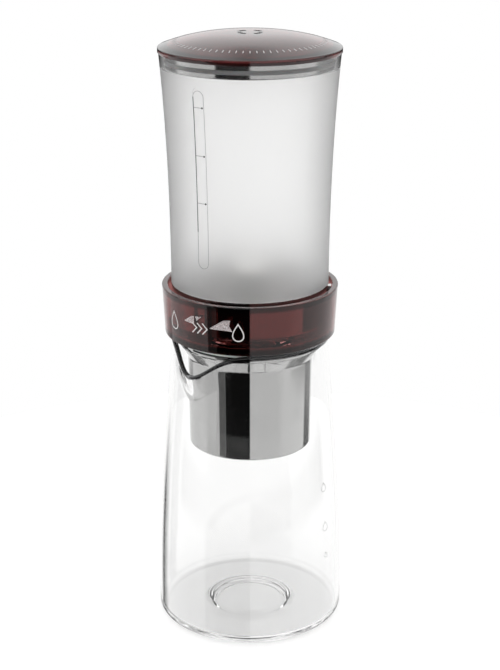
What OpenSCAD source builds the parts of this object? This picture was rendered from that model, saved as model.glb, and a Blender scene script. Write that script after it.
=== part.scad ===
// Cold brew coffee maker: a glass carafe, a steel filter cup that hangs in its neck, a dripper base
// with a turning flow regulator ring, and a frosted water tank with a steel foot, a metering valve
// and a lid.
// The pieces stack on one axis. Azimuths are degrees from the front (-Y), positive towards +X.

/* [Carafe] */
// Height of the carafe from the table to its rim
carafe_h = 146.9; // [130:0.1:165]
// Outer radius of the carafe at its foot
base_r = 46; // [43:0.5:52]
// Outer radius of the carafe at its rim
neck_r = 38.1; // [36.5:0.1:38.6]
// Thickness of the glass wall
glass_t = 2.1; // [1.6:0.1:2.4]
// Radius of the fire-polished bead along the rim
bead_r = 1.15; // [1:0.05:1.3]
// Radius of the outer foot edge
foot_fillet = 4; // [2:0.5:6]
// Thickness of the glass floor above the table
floor_t = 2.6; // [2.2:0.1:4]
// Radius of the punt, the recess under the floor
punt_r = 19.5; // [12:0.5:28]
// Depth of the punt
punt_depth = 1.2; // [0.6:0.1:1.6]
// Length of the wall curve's lower handle: a longer one keeps the wall upright for longer
wall_low_handle = 69; // [40:1:75]
// Length of the wall curve's upper handle
wall_high_handle = 19; // [8:1:30]

/* [Pouring spout] */
// Azimuth of the spout
spout_az = -44; // [-180:1:180]
// How far the rim dips at the spout
spout_drop = 12.6; // [6:0.1:15]
// Angle from the spout's middle at which the dip has faded to about a third
spout_spread = 21; // [14:1:26]
// How far the lip is drawn outwards
spout_pull = 2.6; // [0:0.1:5]
// Height of the wall below the lip that is drawn out with it
spout_reach = 12; // [6:1:14]
// Height of the neck that is drawn into shape, measured down from the rim
neck_h = 30.9; // [29:0.1:45]

/* [Filter cup] */
// Outer radius of the cup at its bottom
cup_bottom_r = 29.7; // [26:0.1:30]
// Outer radius of the cup just under its shoulder
cup_top_r = 30.2; // [30.1:0.1:31]
// Height of the cup from its bottom to the top of its flange
cup_h = 57.7; // [45:0.1:75]
// Height of the conical shoulder
shoulder_h = 7; // [5:0.5:9]
// Height of the collar from the foot of the shoulder to the top of the flange
collar_h = 12.6; // [12.4:0.1:16]
// Thickness of the steel sheet
sheet_t = 0.7; // [0.5:0.05:0.9]
// Width of the lip that holds the filter mesh
lip_w = 3; // [2:0.1:4.5]
// Thickness of the filter mesh
mesh_t = 0.4; // [0.3:0.1:0.8]
// Distance between the mesh openings
mesh_pitch = 3.6; // [3:0.1:6]
// Radius of a mesh opening
mesh_hole_r = 1.25; // [0.5:0.05:1.3]
// Height of the ring that clamps the mesh
mesh_ring_h = 1.4; // [0.8:0.1:3]
// Thickness of the silicone gasket under the flange
gasket_t = 0.7; // [0.5:0.1:1.2]
// Depth of the gasket's lip inside the carafe neck
gasket_lip_h = 2; // [1:0.5:3]
// Thickness of the gasket's lip
gasket_lip_t = 0.45; // [0.3:0.05:0.6]

/* [Spreader] */
// Thickness of the spreader disc
spreader_t = 0.8; // [0.6:0.1:1.2]
// Height of the spreader disc above the foot of the cup's shoulder
spreader_rise = 2.5; // [2.2:0.1:2.8]
// Height of the disc's turned-up edge
edge_rise = 1.5; // [1.2:0.1:1.7]
// Distance between the rings of drip holes
drip_pitch = 7.5; // [7:0.1:8]
// Radius of a drip hole in the spreader disc
drip_hole_r = 1.1; // [0.6:0.1:1.4]
// Radius of the spreader's lifting knob
knob_r = 4; // [3:0.5:5]
// Height of the lifting knob above the disc
knob_h = 5; // [3:0.5:5.5]
// Radius of the knob's stud through the disc
knob_stud_r = 1.5; // [1:0.1:2]

/* [Dripper base] */
// Thickness of the base's deck
deck_t = 3.4; // [2.6:0.1:5]
// Thickness of the steel band round the deck's edge
band_t = 0.6; // [0.4:0.05:0.8]
// Depth of the skirt that centres the base in the cup's collar
skirt_h = 5; // [4.6:0.1:5.2]
// Wall thickness of the skirt
skirt_t = 2.2; // [2:0.1:3]
// Outer radius of the socket tube that the regulator turns on
socket_r = 8; // [7.8:0.1:9]
// Angular width of one pillar under the tank
pillar_angle = 12; // [9:1:16]
// How far a pillar reaches inside the tank's foot ring
pillar_reach = 1.7; // [0.5:0.1:3]
// Height of the fork prongs above the tank's foot
prong_h = 15.4; // [10:0.1:16]
// Thickness of a fork prong
prong_t = 1.1; // [0.8:0.1:1.2]

/* [Regulator ring] */
// Height of the ring
ring_h = 23.8; // [21:0.1:24.4]
// Thickness of the ring's wall at its foot
ring_wall = 1.5; // [1.2:0.1:2.2]
// How far the wall thickens towards its rim
ring_flare = 1.25; // [0.4:0.05:2]
// Width of the open moat between the tank and the ring
moat = 1.8; // [1.8:0.1:3]
// Thickness of the web that carries the cam
web_t = 2; // [1.5:0.1:2.5]
// Angle that the ring turns through, from the small drop to the large one
turn_angle = 50; // [30:1:60]
// Lift of the cam over the whole turn
cam_lift = 1.2; // [0.6:0.1:1.6]
// Thickness of the cam hub's flange
hub_flange_t = 1; // [0.8:0.1:1.5]

/* [Tank] */
// Height of the tank from its foot to its rim
tank_h = 127.3; // [100:0.1:150]
// How far the tank's foot stands inside the neck's radius
tank_inset = 0.4; // [0:0.1:0.6]
// Height of the steel cap round the tank's foot, which stands inside the ring
foot_cap_h = 18.2; // [17.2:0.1:20]
// How far the tank widens towards its rim
tank_flare = 4.35; // [2:0.05:6]
// How late the tank widens: 1 is a straight taper
flare_power = 2.3; // [1:0.1:4]
// Wall thickness of the tank
tank_t = 2; // [1.5:0.1:2.4]
// Height of the tank's foot ring
foot_h = 6.6; // [5:0.1:6.6]
// Thickness of the foot ring, with the steel cap round it
foot_t = 2.4; // [2:0.1:3]
// Thickness of the steel cap's sheet
cap_sheet_t = 0.6; // [0.4:0.05:0.7]
// Thickness of the tank's floor
tank_floor_t = 2.6; // [2:0.1:4]
// Height of the level window above the tank's foot
window_z = 32.8; // [25:0.1:40]
// Length of the level window
window_l = 84; // [50:1:90]
// Width of the level window
window_w = 5.7; // [3:0.1:9]
// Depth of the level window
window_depth = 0.35; // [0.2:0.05:0.6]

/* [Valve] */
// Outer radius of the drip nozzle
nozzle_r = 6; // [5.6:0.1:6.2]
// Radius of the passage through the nozzle
passage_r = 3; // [2.6:0.1:3.4]
// Radius of the valve seat's flange
seat_flange_r = 9; // [8.8:0.1:11]
// Thickness of the valve seat's flange
seat_flange_t = 2; // [1.6:0.1:3]
// Thickness of the gasket under the valve seat
seat_gasket_t = 0.8; // [0.5:0.1:1.2]
// Width of the clamp nut across its corners
nut_corners = 19.6; // [17:0.1:24]
// Thickness of the clamp nut
nut_t = 2.4; // [2:0.1:4]
// Radius of the needle's stem at the cross pin
stem_r = 2; // [1.6:0.1:2.2]
// Radius of the cross pin
pin_r = 0.8; // [0.5:0.05:1]
// Wire radius of the needle spring
wire_r = 0.3; // [0.2:0.05:0.4]
// Radius of the needle spring's coil
spring_r = 3; // [2.8:0.1:3.2]
// Number of turns in the needle spring
spring_turns = 4; // [3:1:5]
// Height of the needle spring
spring_h = 7.5; // [6:0.5:10]
// Outer radius of the strainer
strainer_r = 8.4; // [8:0.1:8.7]
// Wall thickness of the strainer
strainer_t = 0.8; // [0.6:0.1:1.2]
// Height of the strainer
strainer_h = 12; // [11:0.5:16]
// Number of slots in the strainer
strainer_slots = 12; // [6:1:16]

/* [Lid] */
// Height of the lid's rim
lid_rim_h = 2.6; // [2:0.1:4]
// Rise of the dome above the rim
dome_h = 6.3; // [4:0.1:12]
// How flat the top of the dome is: 2 is a parabola
dome_power = 2.6; // [2:0.1:4]
// Thickness of the dome
dome_t = 2.2; // [1.6:0.1:3]
// How far the rim stands out past the tank
lid_overhang = 0.45; // [0:0.05:2]
// Depth of the lid's skirt
lid_skirt_h = 6.4; // [5:0.1:10]
// Thickness of the lid's skirt
lid_skirt_t = 2; // [1.6:0.1:3]
// Radius of the circle of vent slots
vent_r = 5.4; // [4:0.1:9]
// Width of a vent slot
vent_w = 1.3; // [0.8:0.1:2]
// Angle that one vent slot covers
vent_angle = 50; // [30:1:70]

/* [Clearances] */
// Height left between stacked pieces that are not pressed together
seat_gap = 0.3; // [0.2:0.05:0.4]
// Radial gap beside a piece that lifts out
slip_gap = 0.35; // [0.25:0.05:0.4]
// Radial gap between parts assembled together
fit_gap = 0.05; // [0.03:0.01:0.1]
// Gap around the valve's moving parts
valve_gap = 0.2; // [0.15:0.05:0.3]
// Radial gap between the lid's seal and the tank wall
seal_gap = 0.15; // [0.1:0.05:0.25]

/* [Hidden] */

round_fn = 128;      // facets that stand for a full circle
small_fn = 48;
cut = 0.5;           // how far a cutter reaches past the surface that it cuts
step = 0.1;          // step between two curved faces of one piece that would otherwise meet
front_az = -34.3;    // azimuth of the level window, the front of the product

// Heights of the stack, from the table up
gasket_z = carafe_h + seat_gap;
flange_z = gasket_z + gasket_t;
cup_top_z = flange_z + sheet_t;
cup_z = cup_top_z - cup_h;
shoulder_z = cup_top_z - collar_h;
deck_z = cup_top_z + deck_t;
web_z = deck_z + web_t;
hub_z = web_z + hub_flange_t;
pin_z = hub_z + valve_gap + pin_r;
nut_z = pin_z + cam_lift + pin_r + 3 * valve_gap;
floor_z = nut_z + nut_t;
foot_z = floor_z - foot_h;
tank_floor_z = floor_z + tank_floor_t;
seat_z = tank_floor_z + seat_gasket_t;
seat_top_z = seat_z + seat_flange_t;
rim_z = foot_z + tank_h;
lid_top_z = rim_z + lid_rim_h;

// Radii that follow from their neighbours
tank_r = neck_r - tank_inset;
neck_inner_r = neck_r - glass_t - 2 * (bead_r - glass_t / 2);
gasket_lip_r = neck_inner_r - slip_gap;
collar_r = gasket_lip_r - gasket_lip_t - fit_gap;
skirt_r = collar_r - sheet_t - slip_gap;
base_gasket_r = collar_r - sheet_t - seat_gap / 2;
ring_inner_r = tank_r + moat;
deck_r = ring_inner_r - seat_gap;
flange_r = deck_r;
ring_foot_r = ring_inner_r + ring_wall;
pillar_r = deck_r - step;
prong_r = pillar_r - step;
hub_inner_r = socket_r + fit_gap;
hub_outer_r = socket_r + 4;
hub_flange_r = hub_outer_r + 2;
pillar_inner_r = tank_r - foot_t - pillar_reach;
window_inner_r = pillar_inner_r - 2 * seat_gap;
lid_r = tank_r + tank_flare + lid_overhang;

// ---------- Profiles ----------

function unit(v) = v / norm(v);
function wrapped(a) = a > 180 ? a - 360 : a < -180 ? a + 360 : a;
function smooth(t) = t >= 1 ? 1 : t <= 0 ? 0 : t * t * (3 - 2 * t);

// The arc of radius r that rounds the corner b between a and c
function corner(a, b, c, r, n) =
    r <= 0 ? [b] :
    let (
        u = unit(a - b),
        v = unit(c - b),
        half = acos(u * v) / 2,
        o = b + unit(u + v) * r / sin(half),
        p = b + u * r / tan(half),
        q = b + v * r / tan(half),
        start = atan2(p[1] - o[1], p[0] - o[0]),
        sweep = wrapped(atan2(q[1] - o[1], q[0] - o[0]) - start)
    )
    [for (i = [0:n]) o + r * [cos(start + sweep * i / n), sin(start + sweep * i / n)]];

// A closed outline of [radius, height, corner radius] points with its corners rounded
function outline(points, n = 4) =
    let (m = len(points))
    [for (i = [0:m - 1])
        let (a = points[(i + m - 1) % m], b = points[i], c = points[(i + 1) % m])
        each corner([a[0], a[1]], [b[0], b[1]], [c[0], c[1]], b[2], n)];

// An open line of [radius, height, corner radius] points with its inner corners rounded
function line_of(points, n = 4) =
    let (m = len(points))
    [for (i = [0:m - 1])
        let (b = [points[i][0], points[i][1]])
        each (i == 0 || i == m - 1) ? [b] :
            corner([points[i - 1][0], points[i - 1][1]], b,
                   [points[i + 1][0], points[i + 1][1]], points[i][2], n)];

// The outline of a sheet of thickness t whose middle runs along the line
function sheet_along(line, t) =
    let (
        m = len(line),
        side = [for (i = [0:m - 1])
            let (
                before = i == 0 ? line[1] - line[0] : line[i] - line[i - 1],
                after = i == m - 1 ? before : line[i + 1] - line[i],
                d = unit(unit(before) + unit(after)),
                stretch = d * unit(after)
            )
            [-d[1], d[0]] * t / (2 * stretch)]
    )
    concat([for (i = [0:m - 1]) line[i] + side[i]], [for (i = [m - 1:-1:0]) line[i] - side[i]]);

module turned(points) {
    rotate_extrude($fn = round_fn) polygon(points);
}

// A rectangular section turned about the axis, centred on the azimuth az
module arc_block(inner, outer, low, high, az, angle) {
    rotate([0, 0, az - 90 - angle / 2])
        rotate_extrude(angle = angle, $fn = round_fn)
            translate([inner, low]) square([outer - inner, high - low]);
}

module tube(inner, outer, low, high) {
    turned([[inner, low], [outer, low], [outer, high], [inner, high]]);
}

// ---------- Carafe ----------

neck_z = carafe_h - neck_h;
wall_steps = 22;
wall_top_z = carafe_h - bead_r;

// Outer surface of the carafe wall: a cubic curve from the foot to the rim
function wall_point(t) =
    pow(1 - t, 3) * [base_r, foot_fillet]
    + 3 * t * pow(1 - t, 2) * [base_r, foot_fillet + wall_low_handle]
    + 3 * t * t * (1 - t) * [neck_r, wall_top_z - wall_high_handle]
    + pow(t, 3) * [neck_r, wall_top_z];

function wall_t(z, low = 0, high = 1, n = 18) =
    let (mid = (low + high) / 2)
    n == 0 ? mid :
    wall_point(mid)[1] < z ? wall_t(z, mid, high, n - 1) : wall_t(z, low, mid, n - 1);

function wall_r(z) = wall_point(wall_t(z))[0];

// Heights of the wall's rings, from the foot to the start of the neck
wall_line = [for (i = [0:wall_steps])
    let (z = foot_fillet + (neck_z - foot_fillet) * i / wall_steps) [wall_r(z), z]];

foot_line = [for (i = [0:5]) let (a = 90 * i / 5)
    [base_r - foot_fillet * (1 - sin(a)), foot_fillet * (1 - cos(a))]];

// The rim dips and is drawn out around the spout; d is the angle from the spout's middle
function dip(d) = spout_drop * exp(-pow(abs(d) / spout_spread, 1.8));
function pull(d) = spout_pull * exp(-pow(d / (0.8 * spout_spread), 2));

neck_steps = 8;
bead_steps = 6;
neck_seam = 0.03;    // the drawn neck stands this far inside the plain wall where the two meet

// Points of the neck's section at the angle d from the spout, outer face first
function neck_section(d) =
    let (
        top = carafe_h - dip(d),
        edge = top - bead_r,
        face = [for (i = [0:neck_steps])
            let (z = neck_z + (edge - neck_z) * i / neck_steps)
            [wall_r(z) + pull(d) * smooth(1 - (edge - z) / spout_reach), z]],
        middle = face[neck_steps][0] - glass_t / 2
    )
    concat(
        [face[0] - [neck_seam, 0]],
        [for (i = [1:neck_steps - 1]) face[i]],
        [for (i = [0:bead_steps]) let (a = 180 * i / bead_steps)
            [middle + bead_r * cos(a), edge + bead_r * sin(a)]],
        [for (i = [neck_steps - 1:-1:1]) face[i] - [glass_t, 0]],
        [face[0] - [glass_t - neck_seam, 0]]
    );

// Columns of the neck: close together round the spout, further apart elsewhere
neck_columns = [for (d = [-56:3.5:56]) d, for (d = [66:9.5:294]) d];

module neck() {
    m = len(neck_section(180));
    n = len(neck_columns);
    points = [for (d = neck_columns)
        let (a = spout_az - 90 + d, section = neck_section(wrapped(d)))
        for (p = section) [p[0] * cos(a), p[0] * sin(a), p[1]]];
    faces = [for (j = [0:n - 1], i = [0:m - 1])
        let (
            a = j * m + i,
            b = j * m + (i + 1) % m,
            c = (j + 1) % n * m + (i + 1) % m,
            d = (j + 1) % n * m + i
        )
        each [[a, b, c], [a, c, d]]];
    polyhedron(points, faces, convexity = 6);
}

floor_crown = 0.5;   // how far the floor rises towards the middle
inner_foot_r = 2.5;  // radius of the corner between the floor and the wall, inside

module carafe() {
    inner_line = [for (i = [wall_steps:-1:2]) wall_line[i] - [glass_t, 0]];
    color([0.86, 0.93, 0.95, 0.35]) {
        turned(concat(
            [[0, punt_depth], [punt_r - punt_depth, punt_depth], [punt_r, 0]],
            foot_line,
            [for (i = [1:wall_steps]) wall_line[i]],
            inner_line,
            corner(inner_line[wall_steps - 2], [base_r - glass_t, floor_t], [0, floor_t + floor_crown],
                   inner_foot_r, 4),
            [[0, floor_t + floor_crown]]
        ));
        neck();
    }
}

// ---------- Filter cup ----------

half_sheet = sheet_t / 2;
cup_corner_r = 0.8;  // radius of the sheet's middle round the bottom edge
cup_line = line_of([
    [cup_bottom_r - lip_w, cup_z + half_sheet, 0],
    [cup_bottom_r - half_sheet, cup_z + half_sheet, cup_corner_r],
    [cup_top_r - half_sheet, shoulder_z, 3],
    [collar_r - half_sheet, shoulder_z + shoulder_h, 3],
    [collar_r - half_sheet, cup_top_z - half_sheet, 1.2],
    [flange_r, cup_top_z - half_sheet, 0]
]);

module filter_cup() {
    color("silver") turned(sheet_along(cup_line, sheet_t));
}

gasket_inset = 0.6;  // how far the gasket stays inside the flange's edge
bend_room = 1;       // chamfer of the gasket under the bend between collar and flange

module cup_gasket() {
    color("whitesmoke") turned([
        [collar_r + fit_gap, gasket_z - gasket_lip_h],
        [gasket_lip_r, gasket_z - gasket_lip_h],
        [gasket_lip_r, gasket_z],
        [flange_r - gasket_inset, gasket_z],
        [flange_r - gasket_inset, flange_z],
        [collar_r + bend_room, flange_z],
        [collar_r + fit_gap, flange_z - bend_room + fit_gap]
    ]);
}

mesh_z = cup_z + sheet_t;
mesh_r = cup_bottom_r - sheet_t - 0.5;
mesh_open_r = mesh_r - lip_w;
mesh_rows = ceil(mesh_open_r / mesh_pitch);

// Openings of the mesh, in a triangular pattern
mesh_places = [for (i = [-mesh_rows:mesh_rows], j = [-2 * mesh_rows:2 * mesh_rows])
    let (p = mesh_pitch * [j + i / 2, i * sin(60)])
    if (norm(p) < mesh_open_r - mesh_hole_r) p];

module filter_mesh() {
    color("gray") translate([0, 0, mesh_z]) linear_extrude(mesh_t) difference() {
        circle(mesh_r, $fn = round_fn);
        for (p = mesh_places) translate(p) circle(mesh_hole_r, $fn = 6);
    }
}

module mesh_ring() {
    low = mesh_z + mesh_t;
    color("silver") turned(outline([
        [mesh_open_r + 0.4, low, 0],
        [mesh_r, low, 0],
        [mesh_r, low + mesh_ring_h, 0.3],
        [mesh_open_r + 0.4, low + mesh_ring_h, 0.3]
    ], 2));
}

// ---------- Spreader ----------

// The disc lies on the shoulder with its turned-up edge, which runs parallel to the shoulder
shoulder_slope = (collar_r - cup_top_r) / shoulder_h;
shoulder_gap = (sheet_t + spreader_t / 2 + seat_gap) * sqrt(1 + shoulder_slope * shoulder_slope);
spreader_z = shoulder_z + spreader_rise;
function seat_r(z) = cup_top_r + (z - shoulder_z) * shoulder_slope - shoulder_gap;

spreader_line = line_of([
    [0, spreader_z, 0],
    [seat_r(spreader_z), spreader_z, 1.5],
    [seat_r(spreader_z + edge_rise), spreader_z + edge_rise, 0]
]);
spreader_top_z = spreader_z + spreader_t / 2;
drip_rings = 3;

module spreader_disc() {
    color("silver") difference() {
        turned(sheet_along(spreader_line, spreader_t));
        for (ring = [1:drip_rings], i = [0:6 * ring - 1])
            rotate([0, 0, 60 * i / ring])
                translate([drip_pitch * ring, 0, spreader_z - spreader_t])
                    cylinder(h = 2 * spreader_t, r = drip_hole_r, $fn = 12);
        translate([0, 0, spreader_z - spreader_t])
            cylinder(h = 2 * spreader_t, r = knob_stud_r + fit_gap, $fn = small_fn);
    }
}

module spreader_knob() {
    top = spreader_top_z + knob_h;
    under = spreader_z - spreader_t / 2;
    rivet_r = knob_stud_r + 0.9;
    rivet_h = 0.8;
    color("dimgray") turned(concat(
        [[0, under - rivet_h], [rivet_r, under - rivet_h], [rivet_r, under],
         [knob_stud_r, under], [knob_stud_r, spreader_top_z]],
        line_of([
            [knob_r - 0.8, spreader_top_z, 0],
            [knob_r - 1.8, spreader_top_z + knob_h * 0.4, 1],
            [knob_r, spreader_top_z + knob_h * 0.75, 0.8],
            [knob_r - 0.8, top, 0.8],
            [0, top, 0]
        ])
    ));
}

// ---------- Dripper base ----------

skirt_z = cup_top_z - skirt_h;
groove_low_z = skirt_z + 1.2;
groove_h = 2;
groove_depth = 1;
socket_inner_r = nozzle_r + seat_gap;
socket_low_z = cup_top_z - 1.5;
socket_top_z = web_z + hub_flange_t - 0.4;
pillar_azimuths = [for (i = [0:2]) front_az + 120 * i];
prong_inner_r = prong_r - prong_t;
prong_angle = 2.2;
prong_step = 0.15;   // angle between a pillar's side and its prong's
lug_play = 0.85;     // angle between a lug and the prong beside it
lug_angle = pillar_angle - 2 * (prong_angle + prong_step + lug_play);
rib_t = 1.4;
rib_h = 2.4;
deck_core_r = deck_r - band_t - fit_gap;

module dripper_base() {
    color([0.25, 0.05, 0.06]) difference() {
        union() {
            turned(outline([
                [socket_inner_r, socket_low_z, 0],
                [socket_r, socket_low_z, 0],
                [socket_r, cup_top_z, 0],
                [skirt_r - skirt_t, cup_top_z, 0],
                [skirt_r - skirt_t, skirt_z, 0.4],
                [skirt_r, skirt_z, 0.4],
                [skirt_r, cup_top_z, 0],
                [deck_core_r, cup_top_z, 0.4],
                [deck_core_r, deck_z, 0],
                [socket_r, deck_z, 0],
                [socket_r, socket_top_z, 0.3],
                [socket_inner_r, socket_top_z, 0.3]
            ], 3));
            for (az = pillar_azimuths) {
                arc_block(pillar_inner_r, pillar_r, deck_z - cut, foot_z, az, pillar_angle);
                for (side = [-1, 1])
                    arc_block(prong_inner_r, prong_r, foot_z - cut, foot_z + prong_h,
                              az + side * (pillar_angle / 2 - prong_angle / 2 - prong_step), prong_angle);
            }
            for (i = [0:5]) rotate([0, 0, 60 * i + 15])
                translate([socket_r - cut, -rib_t / 2, cup_top_z - rib_h])
                    cube([skirt_r - skirt_t - socket_r + 2 * cut, rib_t, rib_h + cut]);
        }
        turned([
            [skirt_r - groove_depth, groove_low_z],
            [skirt_r + cut, groove_low_z],
            [skirt_r + cut, groove_low_z + groove_h],
            [skirt_r - groove_depth, groove_low_z + groove_h]
        ]);
    }
}

// A polished band pressed round the deck, under the pillars' feet
module base_band() {
    high = deck_z - cut - fit_gap;
    color("silver") turned(outline([
        [deck_r - band_t, cup_top_z + step, 0],
        [deck_r, cup_top_z + step, 0.2],
        [deck_r, high, 0.2],
        [deck_r - band_t, high, 0]
    ], 2));
}

module base_gasket() {
    inner = skirt_r - groove_depth + fit_gap;
    low = groove_low_z + fit_gap;
    high = groove_low_z + groove_h - fit_gap;
    color("whitesmoke") turned(outline([
        [inner, low, 0],
        [base_gasket_r - 0.3, low, 0.2],
        [base_gasket_r, (low + high) / 2, 0.3],
        [base_gasket_r - 0.3, high, 0.2],
        [inner, high, 0]
    ], 2));
}

// ---------- Regulator ring ----------

ring_z = flange_z;
ring_top_z = ring_z + ring_h;
stop_margin = 2;     // free angle between a spoke and its pillar at either end of the turn
window_angle = pillar_angle + turn_angle + 2 * stop_margin;

module regulator_ring() {
    color([0.32, 0.06, 0.07, 0.75]) {
        turned(outline([
            [ring_inner_r, ring_z, 0.3],
            [ring_foot_r, ring_z, 0.6],
            [ring_foot_r + ring_flare, ring_top_z, 0.5],
            [ring_inner_r, ring_top_z, 0.5]
        ]));
        tube(hub_outer_r + fit_gap, window_inner_r, deck_z + fit_gap, web_z);
        for (az = pillar_azimuths)
            arc_block(window_inner_r - 1, ring_inner_r + ring_wall / 2, deck_z + fit_gap, web_z,
                      az - turn_angle / 2 + 60, 120 - window_angle);
    }
}

// ---------- Cam hub ----------

ramp_inner_r = socket_r + 0.8;
ramp_outer_r = hub_flange_r - 0.6;
ramp_land = 12;      // flat angle after the top of the ramp
ramp_steps = 10;
pin_az = 90;         // the cross pin lies along X

// One ramp, rising clockwise from the cross pin's resting azimuth and ending in a flat land
module cam_ramp(az) {
    height = function (i) cam_lift * min(1, i / ramp_steps);
    angle = function (i) az - 90 - (i <= ramp_steps ? turn_angle * i / ramp_steps
                                                    : turn_angle + ramp_land * (i - ramp_steps));
    last = ramp_steps + 1;
    base_z = hub_z - 0.2;
    points = [for (i = [0:last], r = [ramp_inner_r, ramp_outer_r], top = [0, 1])
        [r * cos(angle(i)), r * sin(angle(i)), top == 1 ? hub_z + height(i) : base_z]];
    sides = [for (i = [0:last - 1])
        let (a = 4 * i, b = 4 * (i + 1))
        each [
            [a, b + 1, b], [a, a + 1, b + 1],
            [a + 2, b + 2, b + 3], [a + 2, b + 3, a + 3],
            [a, b + 2, a + 2], [a, b, b + 2],
            [a + 1, b + 3, b + 1], [a + 1, a + 3, b + 3]
        ]];
    e = 4 * last;
    ends = [[0, 3, 1], [0, 2, 3], [e, e + 1, e + 3], [e, e + 3, e + 2]];
    polyhedron(points, concat(sides, ends));
}

module cam_hub() {
    color("ivory") {
        turned([
            [hub_inner_r, deck_z + 0.1],
            [hub_outer_r, deck_z + 0.1],
            [hub_outer_r, web_z],
            [hub_flange_r, web_z],
            [hub_flange_r, hub_z],
            [hub_inner_r, hub_z]
        ]);
        for (side = [0, 180]) cam_ramp(pin_az + side);
    }
}

// ---------- Tank ----------

flare_z = foot_z + foot_cap_h;
tank_steps = 18;
foot_inner_r = tank_r - foot_t;
foot_round = 1.2;    // radius of the foot's outer edge
lug_lift = 2.8;      // height of the lugs' undersides above the foot
lug_head = 1;        // how far the lugs stand above the prongs
foot_wall_r = tank_r - cap_sheet_t - fit_gap;
foot_wall_z = foot_z + cap_sheet_t + fit_gap;

function tank_outer_r(z) =
    tank_r + (z <= flare_z ? 0 : tank_flare * pow((z - flare_z) / (rim_z - flare_z), flare_power));

tank_wall = [for (i = [0:tank_steps])
    let (z = flare_z + (rim_z - flare_z) * i / tank_steps) [tank_outer_r(z), z]];

// The level window is cut into the outer face only
module level_window() {
    intersection() {
        turned(concat(
            [for (p = tank_wall) p - [window_depth, 0]],
            [[tank_r + tank_flare + cut, rim_z], [tank_r + tank_flare + cut, flare_z]]
        ));
        rotate([0, 0, front_az]) rotate([90, 0, 0]) translate([0, foot_z + window_z, 0])
            linear_extrude(2 * tank_r) {
                translate([-window_w / 2, window_w / 2]) square([window_w, window_l - window_w]);
                for (y = [window_w / 2, window_l - window_w / 2])
                    translate([0, y]) circle(window_w / 2, $fn = 32);
            }
    }
}

module tank() {
    corner_r = 4;
    color([0.93, 0.94, 0.95, 0.6]) difference() {
        turned(concat(
            [[0, floor_z], [foot_inner_r, floor_z], [foot_inner_r, foot_wall_z]],
            corner([foot_inner_r, foot_wall_z], [foot_wall_r, foot_wall_z], [foot_wall_r, flare_z],
                   foot_round, 3),
            [[foot_wall_r, flare_z + fit_gap]],
            [tank_wall[0] + [0, fit_gap]],
            [for (i = [1:tank_steps]) tank_wall[i]],
            [for (i = [tank_steps:-1:0]) tank_wall[i] - [tank_t, 0]],
            corner([tank_r - tank_t, rim_z], [tank_r - tank_t, tank_floor_z],
                   [0, tank_floor_z], corner_r, 4),
            [[0, tank_floor_z]]
        ));
        translate([0, 0, floor_z - cut])
            cylinder(h = tank_floor_t + 2 * cut, r = nozzle_r + fit_gap, $fn = small_fn);
        level_window();
    }
}

// A turned steel cap round the tank's foot, with the three lugs that stand in the base's forks
module tank_foot() {
    half = cap_sheet_t / 2;
    color("silver") {
        turned(sheet_along(line_of([
            [foot_inner_r, foot_z + half, 0],
            [tank_r - half, foot_z + half, foot_round],
            [tank_r - half, flare_z, 0]
        ]), cap_sheet_t));
        for (az = pillar_azimuths)
            arc_block(tank_r - half, prong_r, foot_z + lug_lift, foot_z + prong_h + lug_head, az, lug_angle);
    }
}

// ---------- Metering valve ----------

tip_z = cup_top_z - 1.4;
tip_h = 3;
tip_r = 3.8;
outlet_r = 2.2;
cone_h = 1.5;
seat_cone_r = passage_r + 2;
slot_w = 2 * (pin_r + 0.15);
slot_low_z = hub_z + 0.05;
slot_high_z = pin_z + cam_lift + pin_r + valve_gap;

module valve_seat() {
    color("gainsboro") difference() {
        turned([
            [outlet_r, tip_z], [tip_r, tip_z], [nozzle_r, tip_z + tip_h],
            [nozzle_r, seat_z], [seat_flange_r, seat_z], [seat_flange_r, seat_top_z],
            [seat_cone_r, seat_top_z], [passage_r, seat_top_z - cone_h],
            [passage_r, tip_z + tip_h], [outlet_r, tip_z + tip_h - 1]
        ]);
        translate([-nozzle_r - cut, -slot_w / 2, slot_low_z])
            cube([2 * (nozzle_r + cut), slot_w, slot_high_z - slot_low_z]);
    }
}

module seat_gasket() {
    color("whitesmoke") tube(nozzle_r + fit_gap, seat_flange_r, tank_floor_z, seat_z);
}

module seat_nut() {
    color("gainsboro") translate([0, 0, nut_z]) difference() {
        intersection() {
            cylinder(h = nut_t, r = nut_corners / 2, $fn = 6);
            turned(outline([
                [0, 0, 0], [nut_corners / 2 - 0.7, 0, 0], [nut_corners / 2 + 0.1, 0.8, 0],
                [nut_corners / 2 + 0.1, nut_t, 0], [0, nut_t, 0]
            ]));
        }
        translate([0, 0, -cut]) cylinder(h = nut_t + 2 * cut, r = nozzle_r + fit_gap, $fn = small_fn);
    }
}

// The needle's cone runs parallel to its seat, and its spigot centres the spring
spigot_r = spring_r - 2 * wire_r - 0.3;
spigot_h = 1.6;
needle_low_z = pin_z - pin_r - 2;
head_z = seat_top_z + valve_gap;
needle_top_z = head_z + 1;
cone_low_r = passage_r - 2 * valve_gap;
neck_low_z = head_z - cone_h;

module metering_needle() {
    color("silver") difference() {
        turned([
            [0, needle_low_z], [stem_r - 1.2, needle_low_z], [stem_r, needle_low_z + 1.5],
            [stem_r, pin_z + 2 * pin_r], [stem_r - 0.5, pin_z + 3 * pin_r], [stem_r - 0.5, neck_low_z - 1],
            [cone_low_r, neck_low_z], [seat_cone_r - 2 * valve_gap, head_z],
            [seat_cone_r - 2 * valve_gap, needle_top_z], [spigot_r, needle_top_z],
            [spigot_r, needle_top_z + spigot_h], [0, needle_top_z + spigot_h]
        ]);
        translate([0, 0, pin_z]) rotate([0, 90, 0])
            cylinder(h = 4 * stem_r, r = pin_r + fit_gap, center = true, $fn = 32);
    }
}

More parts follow.
